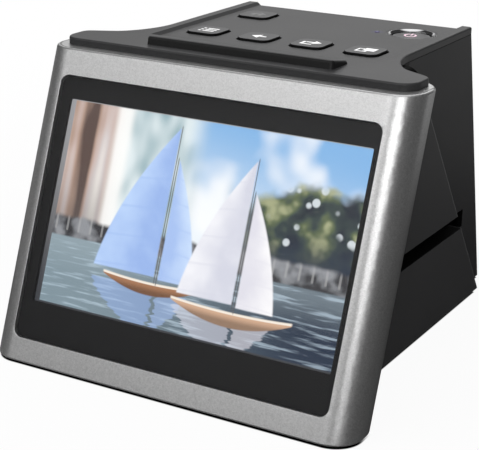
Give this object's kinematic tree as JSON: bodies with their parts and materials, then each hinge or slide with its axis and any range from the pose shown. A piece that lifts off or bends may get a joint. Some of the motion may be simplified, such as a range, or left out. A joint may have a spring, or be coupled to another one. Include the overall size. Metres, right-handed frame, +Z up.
{
  "type": "film negative scanner",
  "caption": "Desktop film and slide scanner with a leaning colour display, push keys on top and a film slot through its sides.",
  "frame": {"origin": "middle of the outline, on the surface that the rubber feet stand on", "axes": "+X to the right seen from the display's side, +Y from the display to the rear wall, +Z up"},
  "size_m": [0.1336, 0.1568, 0.1039],
  "materials": {
    "silver_paint": "painted plastic, fine metallic speckle",
    "clear_acrylic": "clear, polished",
    "gloss_black": "gloss black",
    "black_foam": "soft foam",
    "lcd_glass": "display glass",
    "white_plastic": "moulded, smooth",
    "sheet_steel": "zinc plated",
    "case_black": "fine texture",
    "cover_black": "fine texture, soft sheen",
    "rubber": "matte",
    "blue_light": "lit, clear",
    "led_body": "smooth",
    "circuit_board": "solder mask",
    "white_board": "white solder mask",
    "switch_body": "moulded",
    "gate_black": "matte",
    "spring_steel": "bright",
    "opal_plastic": "opal",
    "lens_glass": "coated",
    "chip_black": "moulded",
    "connector_plastic": "moulded",
    "socket_steel": "bright",
    "ribbon": "film",
    "screw_steel": "black oxide",
    "key_black": "satin",
    "plunger_plastic": "moulded"
  },
  "bodies": {
    "root": {"backlight_tray": "white_plastic", "base_plate": "case_black", "base_screws": "screw_steel", "board_components": "chip_black", "board_connectors": "connector_plastic", "board_screws": "screw_steel", "camera_housing": "gate_black", "camera_screws": "screw_steel", "card_socket": "socket_steel", "cheek_screws": "screw_steel", "cover_screws": "screw_steel", "detent_springs": "spring_steel", "display_bracket": "sheet_steel", "display_gasket": "black_foam", "display_mask": "gloss_black", "display_screws": "screw_steel", "display_window": "clear_acrylic", "film_gate_lower": "gate_black", "film_gate_upper": "gate_black", "film_rails": "gate_black", "front_bezel": "silver_paint", "front_housing": "case_black", "gate_screws": "screw_steel", "hdmi_socket": "socket_steel", "image_sensor": "chip_black", "keypad_board": "circuit_board", "lcd_panel": "lcd_glass", "left_cheek_lower": "case_black", "left_cheek_upper": "case_black", "lens_barrel": "gate_black", "lens_elements": "lens_glass", "light_board": "white_board", "light_box": "white_plastic", "light_diffuser": "opal_plastic", "light_leds": "led_body", "main_board": "circuit_board", "power_key_ring": "gloss_black", "rear_shell": "case_black", "ribbon_cables": "ribbon", "right_cheek_lower": "case_black", "right_cheek_upper": "case_black", "rubber_feet": "rubber", "sensor_board": "circuit_board", "status_led": "led_body", "status_light_pipe": "blue_light", "tact_switches": "switch_body", "top_cover": "cover_black", "usb_socket": "socket_steel"},
    "mode_key": {"mode_key": "key_black", "mode_plunger": "plunger_plastic"},
    "left_key": {"left_key": "key_black", "left_plunger": "plunger_plastic"},
    "right_key": {"right_key": "key_black", "right_plunger": "plunger_plastic"},
    "ok_key": {"ok_key": "key_black", "ok_plunger": "plunger_plastic"},
    "home_key": {"home_key": "key_black", "home_plunger": "plunger_plastic"},
    "power_key": {"power_key": "key_black", "power_plunger": "plunger_plastic"}
  },
  "joints": [
    {"name": "mode_press", "type": "slide", "parent": "root", "child": "mode_key", "axis": [0, 0, -1], "range_m": [0, 0.0005], "stiffness_N_per_m": 300, "springref_m": -0.0005},
    {"name": "left_press", "type": "slide", "parent": "root", "child": "left_key", "axis": [0, 0, -1], "range_m": [0, 0.0005], "stiffness_N_per_m": 300, "springref_m": -0.0005},
    {"name": "right_press", "type": "slide", "parent": "root", "child": "right_key", "axis": [0, 0, -1], "range_m": [0, 0.0005], "stiffness_N_per_m": 300, "springref_m": -0.0005},
    {"name": "ok_press", "type": "slide", "parent": "root", "child": "ok_key", "axis": [0, 0, -1], "range_m": [0, 0.0005], "stiffness_N_per_m": 300, "springref_m": -0.0005},
    {"name": "home_press", "type": "slide", "parent": "root", "child": "home_key", "axis": [0, 0, -1], "range_m": [0, 0.0005], "stiffness_N_per_m": 300, "springref_m": -0.0005},
    {"name": "power_press", "type": "slide", "parent": "root", "child": "power_key", "axis": [0, 0, -1], "range_m": [0, 0.0005], "stiffness_N_per_m": 300, "springref_m": -0.0005}
  ]
}
